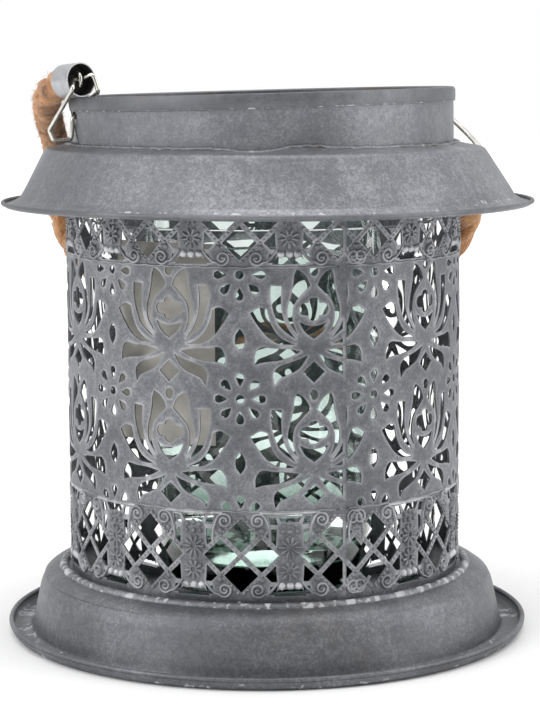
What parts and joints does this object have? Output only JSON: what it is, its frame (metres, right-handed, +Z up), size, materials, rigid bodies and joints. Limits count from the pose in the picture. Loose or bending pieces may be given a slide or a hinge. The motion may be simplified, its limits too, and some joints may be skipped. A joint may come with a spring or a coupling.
{
  "type": "candle lantern",
  "caption": "Round openwork sheet-metal candle lantern with a glass insert, a rolled collar, a wide brim and a rope carrying handle.",
  "frame": {"origin": "centre of the base at the surface the lantern stands on", "axes": "+Z up along the glass insert's axis, -Y towards the viewer of the reference picture, +X to the right"},
  "size_m": [0.1992, 0.2011, 0.2128],
  "materials": {
    "zinc_sheet": "dull zinc",
    "zinc_openwork": "dull zinc",
    "wire": "galvanised",
    "ferrule": "galvanised",
    "jute": "twisted jute",
    "glass": "clear, greenish",
    "label": "matt"
  },
  "bodies": {
    "shell": {"base_pan": "zinc_sheet", "openwork_body": "zinc_openwork", "roof_brim": "zinc_sheet", "collar": "zinc_sheet"},
    "glass": {"glass_insert": "glass", "glass_label": "label"},
    "handle": {"handle_rope": "jute", "link_right": "wire", "ferrule_right": "ferrule", "rope_eye_right": "wire"},
    "handle_left_end": {"link_left": "wire", "ferrule_left": "ferrule", "rope_eye_left": "wire"}
  },
  "joints": [
    {"name": "glass_lift", "type": "slide", "parent": "shell", "child": "glass", "axis": [0, 0, 1], "range_m": [0, 0.185]},
    {"name": "handle_swing", "type": "hinge", "parent": "shell", "child": "handle", "pos_m": [0, 0, 0.1934], "axis": [0.9397, 0.342, 0], "range_deg": [0, 125], "deforming": ["handle_rope"]},
    {"name": "left_end_turn", "type": "hinge", "parent": "handle", "child": "handle_left_end", "pos_m": [-0.067, -0.02439, 0.1934], "axis": [0.9397, 0.342, 0], "range_deg": [-125, 0]}
  ],
  "couplings": [
    {"joint": "left_end_turn", "follows": "handle_swing", "ratio": -1}
  ]
}
